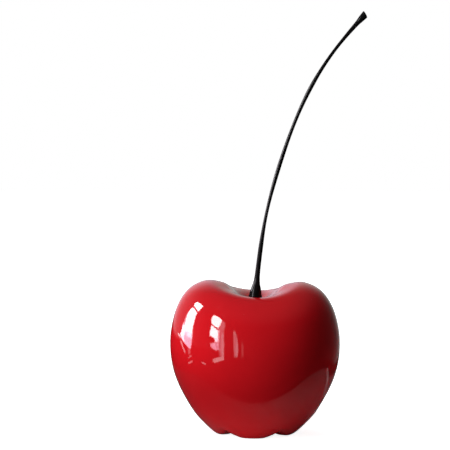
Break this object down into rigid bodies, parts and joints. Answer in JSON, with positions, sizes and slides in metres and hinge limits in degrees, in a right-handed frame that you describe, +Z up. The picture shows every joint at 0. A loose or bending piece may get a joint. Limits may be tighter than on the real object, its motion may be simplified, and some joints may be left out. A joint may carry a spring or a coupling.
{
  "type": "decorative cherry figure",
  "caption": "Glossy red cherry figure: a hollow heart-shaped lacquered body with a dimple, standing on lobed feet, and a tall curved black stem.",
  "frame": {"origin": "on the surface the figure stands on, under the middle of the bounding box", "axes": "+Z up, +X to the side the stem bends to, -Y the front, from which the stem is seen bending to the right"},
  "size_m": [0.195, 0.1586, 0.4178],
  "materials": {
    "red_lacquer": "deep red high-gloss lacquer over cast resin, with sharp and slightly wavy reflections, darker in the creases and rubbed on the level feet",
    "black_lacquer": "glossy black lacquer with a thin light line along the rod"
  },
  "bodies": {
    "root": {"body": "red_lacquer", "stem": "black_lacquer"}
  },
  "joints": []
}
